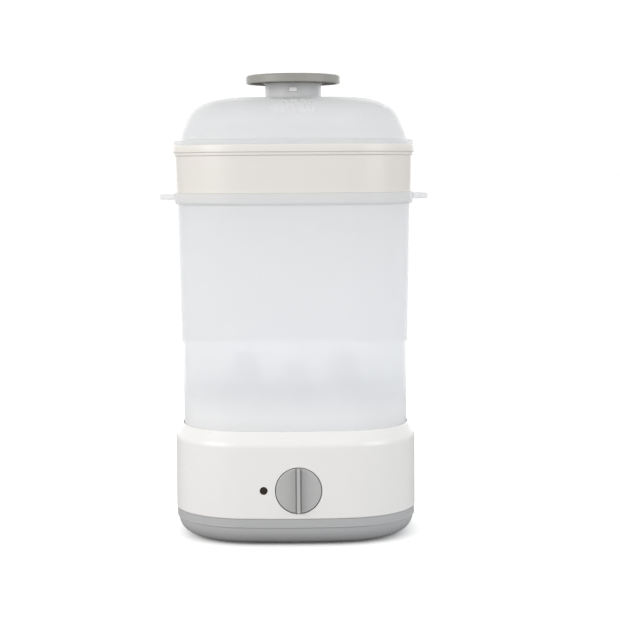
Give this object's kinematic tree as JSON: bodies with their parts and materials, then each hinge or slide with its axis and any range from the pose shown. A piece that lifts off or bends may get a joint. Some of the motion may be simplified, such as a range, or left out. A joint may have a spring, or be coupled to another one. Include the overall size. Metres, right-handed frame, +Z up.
{
  "type": "bottle sterilizer",
  "caption": "Countertop electric steam sterilizer for feeding bottles: white base with knob and lamp, frosted basket with posts, cream upper tray, frosted lid with disc handle.",
  "frame": {"origin": "on the table under the middle of the object's box", "axes": "+Z up, front towards -Y, left to right along X"},
  "size_m": [0.2012, 0.1588, 0.343],
  "materials": {
    "white_shell": "glossy moulded white",
    "grey_shell": "satin moulded grey",
    "knob_grey": "fine matt grey",
    "handle_grey": "satin warm grey",
    "frosted_clear": "frosted translucent polypropylene",
    "cream_white": "soft glossy cream white",
    "stainless": "brushed stainless",
    "plated_steel": "zinc plated",
    "element_alloy": "cast, dull",
    "silicone": "soft translucent grey",
    "foot_rubber": "matt dark grey",
    "black_moulding": "black phenolic",
    "terminal_white": "matt off-white",
    "amber_lens": "dark amber, glossy",
    "lamp_glass": "clear glass",
    "brass_screw": "plain brass"
  },
  "bodies": {
    "base": {"bottom_cover": "grey_shell", "housing": "white_shell", "housing_screws": "plated_steel", "rubber_feet": "foot_rubber", "plate_seal": "silicone", "heating_plate": "stainless", "plate_clamp_ring": "plated_steel", "thermostat_bracket": "plated_steel", "plate_nuts": "plated_steel", "heating_element": "element_alloy", "thermostat": "black_moulding", "thermal_fuse": "plated_steel", "fuse_clip": "plated_steel", "rotary_switch": "black_moulding", "switch_nut": "plated_steel", "indicator_lens": "amber_lens", "lamp_holder": "black_moulding", "indicator_lamp": "lamp_glass", "terminal_block": "terminal_white", "terminal_screws": "brass_screw", "cord_gland": "grey_shell", "cord_clamp": "black_moulding", "clamp_screws": "plated_steel"},
    "knob": {"control_knob": "knob_grey", "switch_shaft": "plated_steel", "knob_clip": "plated_steel"},
    "basket": {"bottle_basket": "frosted_clear", "bottle_rack": "frosted_clear"},
    "tray": {"upper_tray": "cream_white"},
    "lid": {"lid": "frosted_clear", "lid_handle": "handle_grey"}
  },
  "joints": [
    {"name": "knob_turn", "type": "hinge", "parent": "base", "child": "knob", "pos_m": [0.0019, 0, 0.0415], "axis": [0, 1, 0], "range_deg": [0, 90]},
    {"name": "basket_lift", "type": "slide", "parent": "base", "child": "basket", "axis": [0, 0, 1], "range_m": [0, 0.08]},
    {"name": "tray_lift", "type": "slide", "parent": "basket", "child": "tray", "axis": [0, 0, 1], "range_m": [0, 0.08]},
    {"name": "lid_lift", "type": "slide", "parent": "tray", "child": "lid", "axis": [0, 0, 1], "range_m": [0, 0.1]}
  ]
}
